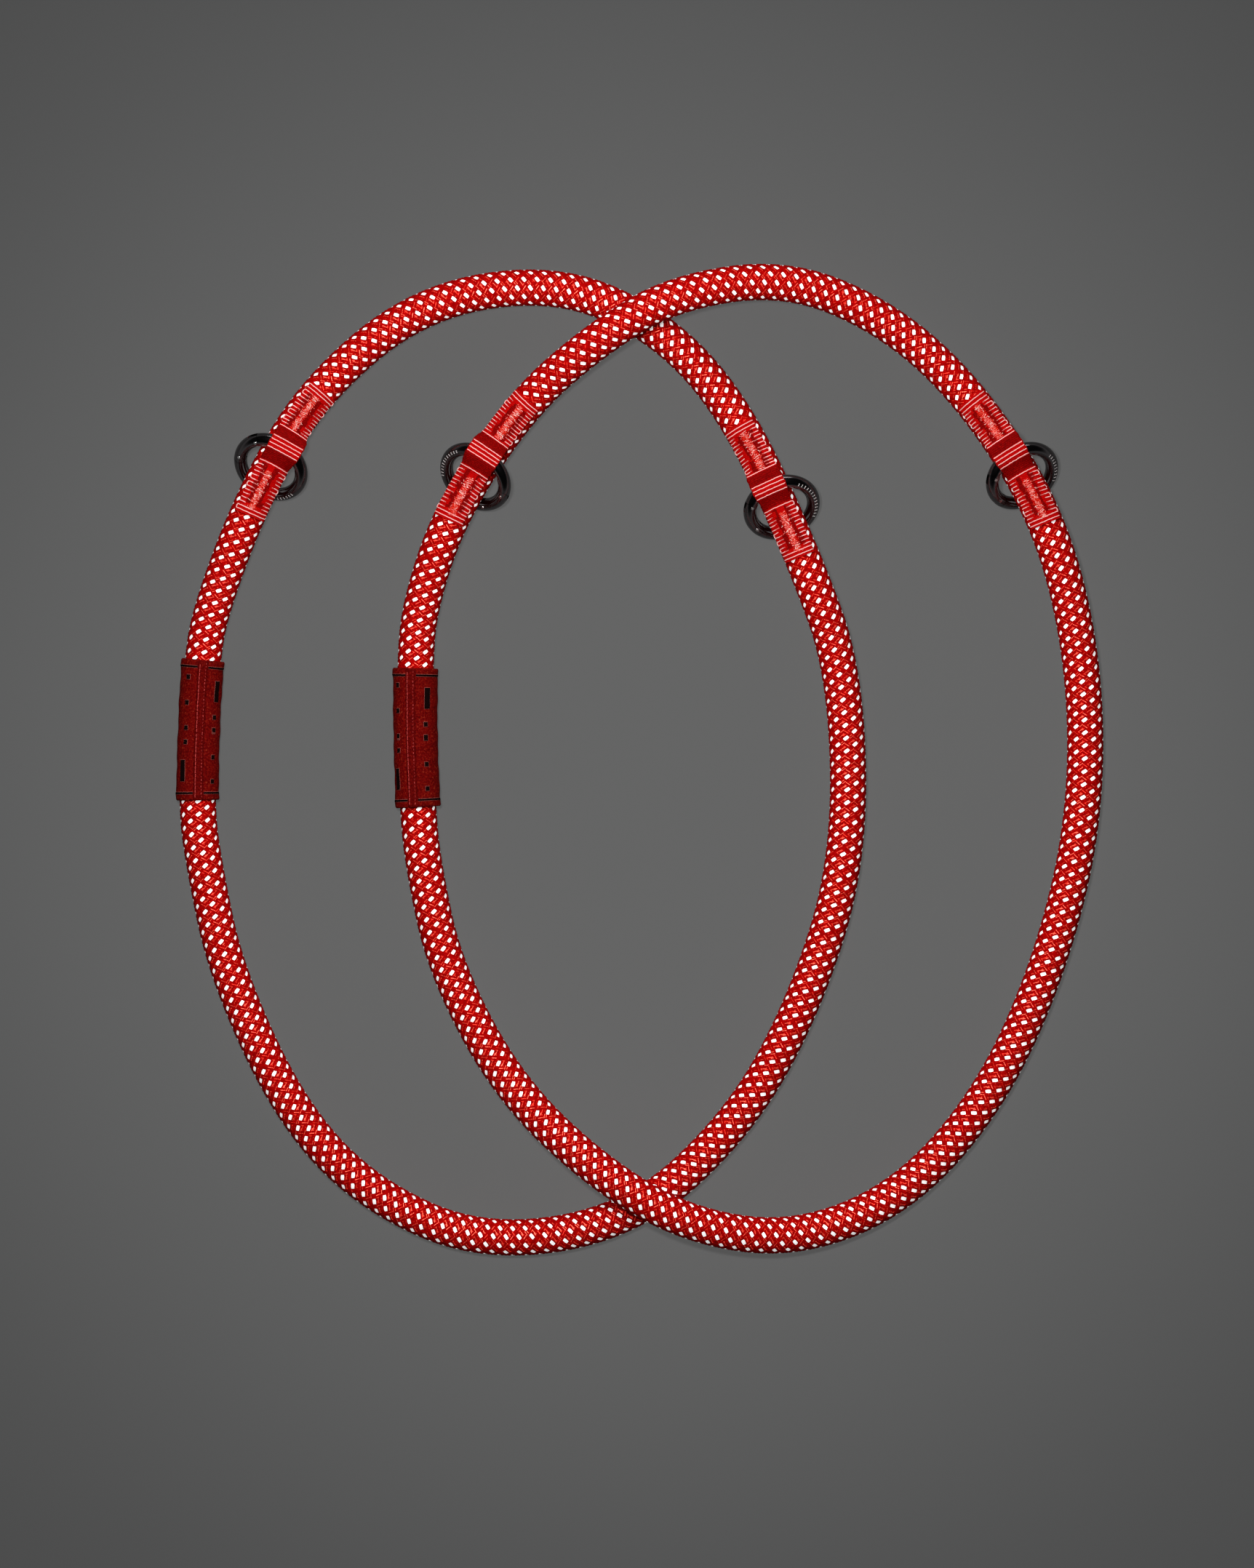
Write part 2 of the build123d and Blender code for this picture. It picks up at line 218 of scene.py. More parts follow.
# Sections of threads and ticks: width, depth sunk in and height above, in millimetres
TRACER_BAR = (0.23, 0.16, 0.03)
RIB_BAR = (0.30, 0.14, 0.06)
TACK_BAR = (0.16, 0.12, 0.07)
STITCH_BAR = (0.26, 0.1, 0.09)
TICK_BAR = (0.38, 0.06, 0.045)
BAR_TOP = 0.6  # width of a bar's top, as a share of its foot
BAR_INSET = 0.06  # of the ends of its top, as a share of its length

# Surface grains: cells per millimetre, strength and depth in millimetres
FILAMENT_GRAIN = (4, 0.2, 0.02)
THREAD_GRAIN = (6, 0.3, 0.03)
SLEEVE_GRAIN = (1.9, 0.6, 0.12)
PRINT_GRAIN = (3, 0.5, 0.08)
STEEL_GRAIN = (3, 0.2, 0.02)


# ---- materials

materials = {}


def principled(name, colour, roughness, specular=0.5, **sockets):
    """Adds a material with plain socket values. Returns its nodes, links and shader."""
    material = bpy.data.materials.new(name)
    material.use_nodes = True
    nodes = material.node_tree.nodes
    shader = nodes["Principled BSDF"]
    shader.inputs["Base Color"].default_value = (*colour, 1)
    shader.inputs["Roughness"].default_value = roughness
    shader.inputs["Specular IOR Level"].default_value = specular
    for socket, value in sockets.items():
        shader.inputs[socket.replace("_", " ")].default_value = value
    material.diffuse_color = (*colour, 1)
    materials[name] = material
    return nodes, material.node_tree.links, shader


def glow(colour, strength):
    """Sockets for a little light of a material's own."""
    return {"Emission_Color": (*colour, 1), "Emission_Strength": strength}


def unit(vectors):
    """The vectors scaled to a length of 1."""
    return vectors / np.linalg.norm(vectors, axis=-1, keepdims=True)


def outward_at(angle, up, right):
    """The direction at an angle from up towards right."""
    return up * np.cos(angle)[..., None] + right * np.sin(angle)[..., None]


def bump(nodes, links, shader, height, strength, distance_mm):
    node = nodes.new("ShaderNodeBump")
    node.inputs["Strength"].default_value = strength
    node.inputs["Distance"].default_value = distance_mm * MM
    links.new(height, node.inputs["Height"])
    links.new(node.outputs["Normal"], shader.inputs["Normal"])


def noise(nodes, links, vector, **sockets):
    node = nodes.new("ShaderNodeTexNoise")
    for socket, value in sockets.items():
        node.inputs[socket].default_value = value
    links.new(vector, node.inputs["Vector"])
    return node.outputs["Fac"]


def yarn(name, colour, roughness, along, specular, **sockets):
    """Yarn whose filaments run along one way of the braid, which the UV map counts."""
    nodes, links, shader = principled(name, colour, roughness, specular, **sockets)
    uv = nodes.new("ShaderNodeUVMap")
    uv.uv_map = "braid"
    stretch = nodes.new("ShaderNodeMapping")
    stretch.inputs["Scale"].default_value = (0.6, 9, 1) if along == "u" else (9, 0.6, 1)
    links.new(uv.outputs["UV"], stretch.inputs["Vector"])
    fibres = noise(nodes, links, stretch.outputs["Vector"], Scale=1.0, Detail=2.0)
    bump(nodes, links, shader, fibres, 0.35, 0.12)


def object_noise(nodes, links, scale, roughness=0.5):
    """Noise in the object's own coordinates; the scale is in cells per millimetre."""
    place = nodes.new("ShaderNodeTexCoord").outputs["Object"]
    return noise(nodes, links, place, Scale=scale / MM, Detail=3.0, Roughness=roughness)


def colour_steps(nodes, links, value, stops):
    """A colour ramp over a value. stops are (place, colour)."""
    ramp = nodes.new("ShaderNodeValToRGB")
    elements = ramp.color_ramp.elements
    while len(elements) < len(stops):
        elements.new(0.5)
    for element, (place, colour) in zip(elements, stops):
        element.position = place
        element.color = (*colour, 1)
    links.new(value, ramp.inputs["Fac"])
    return ramp.outputs["Color"]


def cloth(name, roughness, grain, specular, stops):
    """Cloth with a fine speckle of colour and a bump of the same grain."""
    nodes, links, shader = principled(name, stops[0][1], roughness, specular)
    scale, strength, depth_mm = grain
    speckle = object_noise(nodes, links, scale, 0.65)
    links.new(colour_steps(nodes, links, speckle, stops), shader.inputs["Base Color"])
    bump(nodes, links, shader, speckle, strength, depth_mm)


def grained(name, colour, roughness, specular=0.5, grain=THREAD_GRAIN, **sockets):
    """One colour with a fine grain in its surface."""
    nodes, links, shader = principled(name, colour, roughness, specular, **sockets)
    scale, strength, depth_mm = grain
    bump(nodes, links, shader, object_noise(nodes, links, scale), strength, depth_mm)


RED = (0.47, 0.0008, 0.0008)
DEEP_RED = (0.36, 0.0006, 0.0006)
WHITE = (0.93, 0.89, 0.88)
for tone, colour in (("red", RED), ("deep", DEEP_RED)):
    yarn(f"rope_{tone}_right", colour, 0.7, "u", 0.02)
    yarn(f"rope_{tone}_left", colour, 0.7, "v", 0.02)
# The reflective picks glow a little: painted light for the flash that the yarn throws back, which
# shows even where no lamp reaches.
yarn("rope_reflective", WHITE, 0.5, "u", 0.2, **glow((1, 0.95, 0.94), 0.44))
# The bright filaments stand for the flash's glints on the rope, and they glow a little as well:
# painted glints on top of their metallic gloss.
grained(
    "tracer_filament", (1.0, 0.155, 0.095), 0.52, grain=FILAMENT_GRAIN, Metallic=0.86,
    **glow((1, 0.02, 0.01), 0.20),
)
grained(
    "tracer_filament_dim", (0.90, 0.05, 0.025), 0.52, grain=FILAMENT_GRAIN, Metallic=0.8,
    **glow((1, 0.005, 0.0), 0.14),
)
# The webbing's speckle is partly its own tone; its palest orange-red stop paints small highlights
# on the weave.
cloth("webbing_red", 0.7, (3.0, 0.4, 0.06), 0.03, [
    (0.32, (0.36, 0.0008, 0.0008)), (0.50, (0.52, 0.0010, 0.0010)),
    (0.66, (0.58, 0.0015, 0.0012)), (0.76, (0.75, 0.07, 0.04)),
])
# A darker copy of the webbing: painted shade on the tunnel's slopes, also used for the dark spots
# beside the bartacks; its palest stop again paints small highlights.
cloth("webbing_red_shaded", 0.7, (2.4, 0.4, 0.06), 0.03, [
    (0.32, (0.15, 0.0004, 0.0004)), (0.52, (0.24, 0.0006, 0.0006)),
    (0.66, (0.36, 0.0010, 0.0010)), (0.76, (0.62, 0.020, 0.012)),
])
# The reflective weft glows a little: painted light for the flash that it throws back.
grained(
    "webbing_reflective", (0.90, 0.46, 0.44), 0.5, 0.1,
    **glow((1, 0.55, 0.52), 0.10),
)
grained("webbing_reflective_dim", (0.72, 0.17, 0.16), 0.5, 0.1)
grained("bartack_pink", (0.92, 0.20, 0.17), 0.6, 0.1)
grained("bartack_orange", (0.80, 0.035, 0.012), 0.6, 0.05)
grained("bartack_pale", (0.97, 0.66, 0.60), 0.6, 0.1)
cloth("sleeve_cloth", 0.85, SLEEVE_GRAIN, 0.03, [
    (0.34, (0.075, 0.0006, 0.0006)), (0.50, (0.140, 0.0011, 0.0010)),
    (0.62, (0.19, 0.005, 0.002)), (0.74, (0.32, 0.050, 0.018)),
])
# A darker copy of the cloth for the pleat and its foot: painted shade of the fold.
cloth("sleeve_cloth_pleat", 0.85, SLEEVE_GRAIN, 0.03, [
    (0.36, (0.070, 0.0006, 0.0006)), (0.54, (0.125, 0.0012, 0.0010)),
    (0.74, (0.21, 0.008, 0.004)),
])
grained("sleeve_black", (0.006, 0.002, 0.002), 0.9, 0.02, PRINT_GRAIN)
grained("sleeve_pale", (0.26, 0.055, 0.045), 0.8, 0.05, PRINT_GRAIN)
grained("sleeve_thread", (0.50, 0.050, 0.045), 0.6, 0.1)
grained("sleeve_thread_dim", (0.30, 0.014, 0.012), 0.6, 0.1)
grained("black_plating", (0.135, 0.124, 0.127), 0.19, grain=(0.5, 0.04, 0.04), Metallic=1.0)
grained("plating_tick", (0.72, 0.66, 0.65), 0.6, grain=FILAMENT_GRAIN)
grained("pin_steel", (0.55, 0.54, 0.53), 0.2, grain=STEEL_GRAIN, Metallic=1.0)
grained("spring_steel", (0.55, 0.55, 0.56), 0.25, grain=STEEL_GRAIN, Metallic=1.0)
cloth("core_yarn", 0.8, (1.5, 0.6, 0.2), 0.5, [
    (0.3, (0.55, 0.53, 0.48)), (0.6, (0.78, 0.76, 0.70)),
])
cloth("wrap_cloth", 0.8, (3, 0.5, 0.1), 0.5, [
    (0.3, (0.20, 0.004, 0.004)), (0.6, (0.32, 0.01, 0.01)),
])


# ---- meshes


def add_object(name, data):
    """A new object in the scene."""
    added = bpy.data.objects.new(name, data)
    bpy.context.scene.collection.objects.link(added)
    return added


def make_mesh(name, points, faces, slots, slot_of_face=None, smooth=True, uvs=None):
    """A mesh object from points in metres, with one material slot for each name in slots.

    Faces past the end of slot_of_face have the first slot.
    """
    mesh = bpy.data.meshes.new(name)
    mesh.from_pydata(np.asarray(points).tolist(), [], [list(map(int, face)) for face in faces])
    for slot in slots:
        mesh.materials.append(materials[slot])
    if slot_of_face is not None:
        padded = np.pad(slot_of_face, (0, len(faces) - len(slot_of_face))).astype(np.int32)
        mesh.polygons.foreach_set("material_index", padded)
    mesh.polygons.foreach_set("use_smooth", np.full(len(mesh.polygons), smooth))
    if uvs is not None:
        layer = mesh.uv_layers.new(name="braid")
        layer.data.foreach_set("uv", np.asarray(uvs, dtype=np.float32).ravel())
    mesh.update()
    return add_object(name, mesh)


def grid_faces(rows, columns, closed=False, start=0):
    """Quads over a grid of points, stored row by row, and wrapped across if closed."""
    index = np.arange(rows * columns).reshape(rows, columns) + start
    if closed:
        index = np.column_stack([index, index[:, 0]])
    corners = [index[:-1, :-1], index[:-1, 1:], index[1:, 1:], index[1:, :-1]]
    return np.stack(corners, axis=-1).reshape(-1, 4)


def tube_inside(outer_rows, inner_rows, columns):
    """Faces of a tube's inner wall and two rims; its inner points follow its outer ones."""
    count = outer_rows * columns
    wall = grid_faces(inner_rows, columns, closed=True, start=count)[:, ::-1]
    m = np.arange(columns)
    beside = (m + 1) % columns
    start_rim = np.stack([beside, m, m + count, beside + count], axis=-1)
    last, last_inner = count - columns, count + (inner_rows - 1) * columns
    corners = [last + m, last + beside, last_inner + beside, last_inner + m]
    return np.concatenate([wall, start_rim, np.stack(corners, axis=-1)])


def sheet_arrays(outer, inner):
    """Points and faces of a thin solid between two grids of points, outer on top."""
    rows, columns, _ = outer.shape
    count = rows * columns
    top = grid_faces(rows, columns)
    under = top[:, ::-1] + count
    index = np.arange(count).reshape(rows, columns)
    rim = np.concatenate([index[0], index[1:, -1], index[-1, -2::-1], index[-2:0:-1, 0]])
    following = np.roll(rim, -1)
    side = np.stack([rim + count, following + count, following, rim], axis=-1)
    points = np.concatenate([outer.reshape(-1, 3), inner.reshape(-1, 3)])
    return points, np.concatenate([top, under, side])


def bars(name, starts, ends, outwards, section, slots, slot_of_bar):
    """Small flat-topped bars from starts to ends, each lying across its outward direction."""
    starts, ends, outwards = (np.asarray(x, dtype=float) for x in (starts, ends, outwards))
    width_mm, sink_mm, height_mm = section
    along = ends - starts
    side = np.cross(along, outwards)
    side *= width_mm * MM / 2 / np.linalg.norm(side, axis=1, keepdims=True)
    low, high = outwards * -sink_mm * MM, outwards * height_mm * MM
    top, inset = side * BAR_TOP, along * BAR_INSET
    corners = [
        starts - side + low, starts + side + low,
        starts + top + inset + high, starts - top + inset + high,
        ends - side + low, ends + side + low,
        ends + top - inset + high, ends - top - inset + high,
    ]
    points = np.stack(corners, axis=1).reshape(-1, 3)
    pattern = [(3, 2, 1, 0), (4, 5, 6, 7), (0, 1, 5, 4), (1, 2, 6, 5), (2, 3, 7, 6), (3, 0, 4, 7)]
    base = np.arange(len(starts))[:, None, None] * 8
    faces = (base + np.array(pattern)[None]).reshape(-1, 4)
    slot_of_face = np.repeat(np.asarray(slot_of_bar), len(pattern))
    return make_mesh(name, points, faces, slots, slot_of_face, smooth=False)


# ---- ropes


class Line:
    """A rope's centreline, with frames along it: forward, up, and right as seen from above."""

    def __init__(self, name):
        route = [np.array(point) - np.array((*TABLE_MIDDLE_MM, 0)) for point in ROUTES_MM[name]]
        middle, others = route[0], route[1:]
        ends = []
        for point in (others[0], others[-1]):
            away = point - middle
            ends.append(middle + away * (BUTT_GAP_MM / 2 / np.linalg.norm(away)))
        self.route = np.array([ends[0], *others, ends[1]]) * MM
        curve = bpy.data.curves.new(f"line_{name}", "CURVE")
        curve.dimensions = "3D"
        curve.resolution_u = 24
        spline = curve.splines.new("NURBS")
        spline.points.add(len(self.route) - 1)
        for point, place in zip(spline.points, self.route):
            point.co = (*place, 1)
        spline.order_u = 3
        spline.use_endpoint_u = True
        holder = bpy.data.objects.new(f"line_{name}", curve)
        mesh = bpy.data.meshes.new_from_object(holder)
        self.points = np.array([vertex.co[:] for vertex in mesh.vertices])
        bpy.data.objects.remove(holder)
        bpy.data.curves.remove(curve)
        bpy.data.meshes.remove(mesh)
        steps = np.linalg.norm(np.diff(self.points, axis=0), axis=1)
        self.distances = np.concatenate([[0], np.cumsum(steps)])
        self.length = self.distances[-1]
        self.rows = round(self.length / (ROW_MM * MM))
        self.tangents = np.gradient(self.points, self.distances, axis=0)

    def at(self, distance):
        """Place, forward, up and right at distances along the line, past its ends too."""
        distance = np.asarray(distance, dtype=float)
        inside = np.clip(distance, 0, self.length)
        place, forward = (
            np.stack([np.interp(inside, self.distances, column) for column in values.T], axis=-1)
            for values in (self.points, self.tangents)
        )
        forward = unit(forward)
        place = place + forward * (distance - inside)[..., None]
        up = unit(np.array((0, 0, 1.0)) - forward * forward[..., 2:])
        return place, forward, up, np.cross(forward, up)

    def surface(self, distance, angle, radius):
        """Points round the line, with the angle in radians from the top to the right."""
        place, _, up, right = self.at(distance)
        outward = outward_at(angle, up, right)
        return place + outward * radius[..., None], outward

    def nearest(self, place):
        """Distance along the line of the point nearest to a place."""
        return self.distances[np.argmin(np.linalg.norm(self.points - place, axis=1))]


class Ring:
    """A ring's place: the ring from the record's mount and joint, and the tape's frame."""

    def __init__(self, name):
        self.name = name
        self.line = lines[name[0]]
        low, high, self.roll, self.shift, self.slide, self.ticks = RINGS[name]
        mounts = {mount["name"]: mount for mount in record["mounts"]}
        joints = {joint["name"]: joint for joint in record["behaviour"]["joints"]}
        self.centre = np.array(mounts[f"ring_eye_{name}"]["pos_m"])
        self.top = np.array(joints[f"ring_swing_{name}"]["pos_m"])
        self.hinge = np.array(joints[f"ring_swing_{name}"]["axis"])
        self.gate = frame["nodes"][f"gate_{name}"]
        self.gate_joint = joints[f"gate_open_{name}"]
        self.distance = self.line.nearest((self.line.route[low] + self.line.route[high]) / 2)
        self.way = 1 if high > low else -1

    def ring_frame(self, swing=0.0):
        """Centre, right and towards-the-tape directions of the ring, swung about its top."""
        angle = math.radians(swing)
        inward = self.centre - self.top
        turned = inward * math.cos(angle) + np.cross(self.hinge, inward) * math.sin(angle)
        return self.top + turned, self.hinge, unit(-turned)

    def near_wire(self, points, swing):
        """Which of the points are inside the swung ring's wire, or too near to it."""
        centre, right, towards = self.ring_frame(swing)
        normal = np.cross(right, towards)
        offset = points - centre
        height = offset @ normal
        flat = offset - height[..., None] * normal
        away = np.hypot(np.linalg.norm(flat, axis=-1) - RING_RADIUS_MM * MM, height)
        return away < (WIRE_RADIUS_MM + WIRE_CLEARANCE_MM) * MM

    def open_gate(self, swing):
        """The faces of the fully opened gate, with the ring swung about its top."""

        def turn(place, axis, degrees):
            place = Vector(place)
            rotation = Matrix.Rotation(math.radians(degrees), 4, Vector(axis))
            return Matrix.Translation(place) @ rotation @ Matrix.Translation(-place)

        joint = self.gate_joint
        opened = turn(joint["pos_m"], joint["axis"], joint["range_deg"][1])
        moved = turn(self.top, self.hinge, swing) @ opened @ self.gate.matrix_world
        mesh = self.gate.data
        corners = [moved @ vertex.co for vertex in mesh.vertices]
        return BVHTree.FromPolygons(corners, [face.vertices for face in mesh.polygons])

    def tape_points(self, offset, share, lift):
        """Points lift metres above the tape's underside.

        offset is in metres along the rope from the tunnel, and share runs from -1 to 1
        across the tape, left to right.
        """
        place, _, up, right = self.line.at(self.distance + self.way * offset)
        rest = TAPE_INNER_MM * MM + lift
        angle = math.radians(self.roll) + share * TAPE_HALF_ANGLE
        side, height = rest * np.sin(angle), rest * np.cos(angle)
        crest_side = self.shift * MM + share * TAPE_WIDTH_MM / 2 * MM
        bow = (share * TAPE_WIDTH_MM / 2) ** 2 / (2 * CREST_BOW_MM) * MM
        wire_top = self.top[2] + (WIRE_RADIUS_MM + TAPE_GAP_MM) * MM
        crest_height = wire_top - place[..., 2] + lift - bow
        weight = 1 - smooth_step(SLOPE_START_MM * MM, SLOPE_END_MM * MM, np.abs(offset))
        side = side + (crest_side - side) * weight
        height = height + (crest_height - height) * weight
        return place + right * self.way * side[..., None] + up * height[..., None]

    def tack_share(self):
        """Where the bartacks' middle lies across the tape: nearer to the rope's top."""
        return -math.radians(self.roll) / TAPE_HALF_ANGLE * 0.55


def braid_place(line, a, b):
    """Distance along a rope and angle round it of places counted along the braid's two ways."""
    return (a + b) * (line.length / line.rows), (a - b) * (2 * math.pi / ACROSS)


def bright_shift(a, b):
    """How far the corners of the reflective floats shift, and which points they are."""
    shift_a, shift_b = np.zeros_like(a), np.zeros_like(b)
    bright = np.zeros(a.shape, dtype=bool)
    for (at_a, at_b), (by_a, by_b) in BRIGHT_SPREAD.items():
        here = (np.mod(a, REPEAT) == at_a) & (np.mod(b, REPEAT) == at_b)
        shift_a[here] = by_a
        shift_b[here] = by_b
        bright |= here
    return shift_a, shift_b, bright


def near_shape(points, tree):
    """Which of the points are inside a closed shape, or too near to it."""
    near = np.zeros(len(points), dtype=bool)
    for index, point in enumerate(points):
        place, normal, _, _ = tree.find_nearest(point, 2 * MM)
        if place is not None:
            near[index] = (Vector(point) - place).dot(normal) < GATE_CLEARANCE_MM * MM
    return near


def press_in(line, places, chosen, is_near):
    """Presses chosen points of a rope's surface in, step by step, until none is near.

    places are the points' distances along the line, angles round it and radii.
    """
    for _ in range(PRESS_STEPS):
        points, _ = line.surface(*(values.flat[chosen] for values in places))
        chosen = chosen[is_near(points)]
        if not len(chosen):
            break
        places[2].flat[chosen] -= PRESS_STEP_MM * MM


def clear_of_rings(line, distance, angle, radius):
    """Presses the rope's surface in where a ring's wire, or its open gate, lies against it."""
    reach = (2 * RING_RADIUS_MM + 4) * MM
    for ring in rings.values():
        if ring.line is not line:
            continue
        beside = np.flatnonzero(np.abs(distance - ring.distance) < reach)
        for swing in SWINGS:
            wire = partial(ring.near_wire, swing=swing)
            gate = partial(near_shape, tree=ring.open_gate(swing))
            for is_near in (wire, gate):
                press_in(line, (distance, angle, radius), beside, is_near)


def sheath_surface(line):
    """The cover's outer points: pillows over the floats, pressed in beside the rings."""
    n, m = np.meshgrid(np.arange(line.rows + 1), np.arange(ACROSS), indexing="ij")
    a, b = (n + m) / 2, (n - m) / 2
    shift_a, shift_b, bright_corner = bright_shift(a, b)
    at_end = (n < 3) | (n > line.rows - 3)
    shift_a[at_end] = shift_b[at_end] = 0
    middle = (n + m) % 2 == 1
    bright_middle = middle & (m % 4 < 2) & (np.mod(b - 0.5, REPEAT) == 0)
    relief = np.where(middle, CREST_MM, VALLEY_MM)
    relief = np.where(bright_middle, BRIGHT_CREST_MM, relief)
    relief = np.where(bright_corner, BRIGHT_VALLEY_MM, relief)
    distance, angle = braid_place(line, a + shift_a, b + shift_b)
    radius = (ROPE_RADIUS_MM + relief) * MM
    clear_of_rings(line, distance, angle, radius)
    return line.surface(distance, angle, radius)[0]


def sheath_faces(rows):
    """The cover's triangles, the slot of each, and its corners' places in the braid.

    Each square of the grid is cut so that both halves have a corner in the middle of the
    float that they belong to. Of every four columns, two show the strands of each way.
    """
    quads = grid_faces(rows + 1, ACROSS, closed=True)
    n, m = (grid.ravel() for grid in np.meshgrid(range(rows), range(ACROSS), indexing="ij"))
    quad_n, quad_m = np.stack([n, n, n + 1, n + 1], 1), np.stack([m, m + 1, m + 1, m], 1)
    even = (n + m) % 2 == 0
    cut = even ^ np.where(even, m % 4 == 2, m % 4 == 0)
    cuts = [(cut, [0, 1, 2]), (cut, [0, 2, 3]), (~cut, [0, 1, 3]), (~cut, [1, 2, 3])]
    faces, slots, uvs = [], [], []
    for chosen, corners in cuts:
        faces.append(quads[chosen][:, corners])
        corner_n, corner_m = quad_n[chosen][:, corners], quad_m[chosen][:, corners]
        uvs.append(np.stack([(corner_n + corner_m) / 2, (corner_n - corner_m) / 2], axis=-1))
        pick = np.argmax((corner_n + corner_m) % 2 == 1, axis=1)[:, None]
        middle_n = np.take_along_axis(corner_n, pick, axis=1)[:, 0]
        middle_m = np.take_along_axis(corner_m, pick, axis=1)[:, 0]
        rightwards = middle_m % 4 < 2
        along = np.where(rightwards, middle_n - middle_m - 1, middle_n + middle_m - 1)
        strand = along // 2
        bright = rightwards & (strand % REPEAT == 0)
        deep = (strand * 7 + strand // 5) % 3 == 0
        slot = np.where(rightwards, 0, 1) + np.where(deep, 2, 0)
        slots.append(np.where(bright, 4, slot))
    return np.concatenate(faces), np.concatenate(slots), np.concatenate(uvs)


ROPE_SLOTS = [
    "rope_red_right", "rope_red_left", "rope_deep_right", "rope_deep_left", "rope_reflective"
]


def make_sheath(name):
    """The braided cover: one closed mesh, each float a small pillow of its own colour."""
    line = lines[name]
    outer = sheath_surface(line)
    bore_rows = max(2, round(line.rows / 16))
    distance = np.linspace(0, line.length, bore_rows)[:, None] + np.zeros(ACROSS)
    angle = np.arange(ACROSS) * (2 * math.pi / ACROSS) + np.zeros((bore_rows, 1))
    bore, _ = line.surface(distance, angle, np.full(distance.shape, BORE_RADIUS_MM * MM))
    points = np.concatenate([outer.reshape(-1, 3), bore.reshape(-1, 3)])
    triangles, slot_of_face, uvs = sheath_faces(line.rows)
    quads = tube_inside(line.rows + 1, bore_rows, ACROSS)
    return make_mesh(
        f"braided_sheath_{name}", points, [*triangles.tolist(), *quads.tolist()],
        ROPE_SLOTS, slot_of_face,
        uvs=np.concatenate([uvs.reshape(-1, 2), np.zeros((len(quads) * 4, 2))]),
    )


def make_tracers(name):
    """Thin bright filaments on the rope's upper part, in the same pattern at each repeat: painted
    glints of the flash, kept off the underside.
    """
    line = lines[name]
    rng = random.Random(f"tracers {name}")
    starts, ends, kinds = [], [], []
    repeat = 2 * REPEAT
    for m in range(0, ACROSS, REPEAT):
        if abs(m - ACROSS / 2) < UNDERSIDE:
            continue
        for n in range(m % repeat + repeat, line.rows - repeat, repeat):
            a, b = (n + m) / 2, (n - m) / 2
            for from_a, from_b, to_a, to_b, dim, left_out in TRACERS:
                if rng.random() < left_out:
                    continue
                jog_a, jog_b = rng.uniform(-0.08, 0.08), rng.uniform(-0.06, 0.06)
                starts.append((a + from_a + jog_a, b + from_b + jog_b))
                ends.append((a + to_a + jog_a, b + to_b + jog_b))
                kinds.append(1 if dim or rng.random() < 0.25 else 0)
    places = []
    for pairs in (starts, ends):
        distance, angle = braid_place(line, *np.array(pairs).T)
        radius = np.full(len(pairs), ROPE_RADIUS_MM * MM)
        clear_of_rings(line, distance, angle, radius)
        places.append(line.surface(distance, angle, radius))
    (start, out_start), (end, out_end) = places
    outward = unit(out_start + out_end)
    slots = ["tracer_filament", "tracer_filament_dim"]
    return bars(f"tracer_filaments_{name}", start, end, outward, TRACER_BAR, slots, kinds)


# ---- tapes


def smooth_step(low, high, value):
    share = np.clip((value - low) / (high - low), 0, 1)
    return share * share * (3 - 2 * share)


def tape_offsets(ring):
    """Offsets along the rope, evenly spaced along the tape itself, and the tape's length."""
    ends = ring.slide - TAPE_HALF_MM, ring.slide + TAPE_HALF_MM
    dense = np.linspace(*ends, 801) * MM
    lift = np.full_like(dense, TAPE_THICK_MM * MM)
    track = ring.tape_points(dense, np.zeros_like(dense), lift)
    run = np.concatenate([[0], np.cumsum(np.linalg.norm(np.diff(track, axis=0), axis=1))])
    count = round(run[-1] / (TAPE_STEP_MM * MM))
    return np.interp(np.linspace(0, run[-1], count + 1), run, dense), run[-1]


def slope_shade_and_spots(ring, at_mm, share):
    """Where the tape gets the darker copy: painted shade on the tunnel's slopes, and dark spots
    beside the bartacks.
    """
    rng = np.random.default_rng(list(ring.name.encode()))
    across = np.abs(share - ring.tack_share())
    spots = rng.random((60, 2))
    cell = np.floor((at_mm + 30) / 1.7).astype(int) % 60
    outer = 0.36 + 0.22 * spots[cell, (share > 0).astype(int)]
    from_lines = np.abs(at_mm - ring.slide)
    wings = (from_lines > RIBS_FROM_MM + 0.4) & (from_lines < TAPE_HALF_MM - 3)
    slopes = (from_lines > SLOPE_SHADE_MM[0]) & (from_lines < SLOPE_SHADE_MM[1])
    return slopes | (wings & (across > 0.2) & (across < outer))


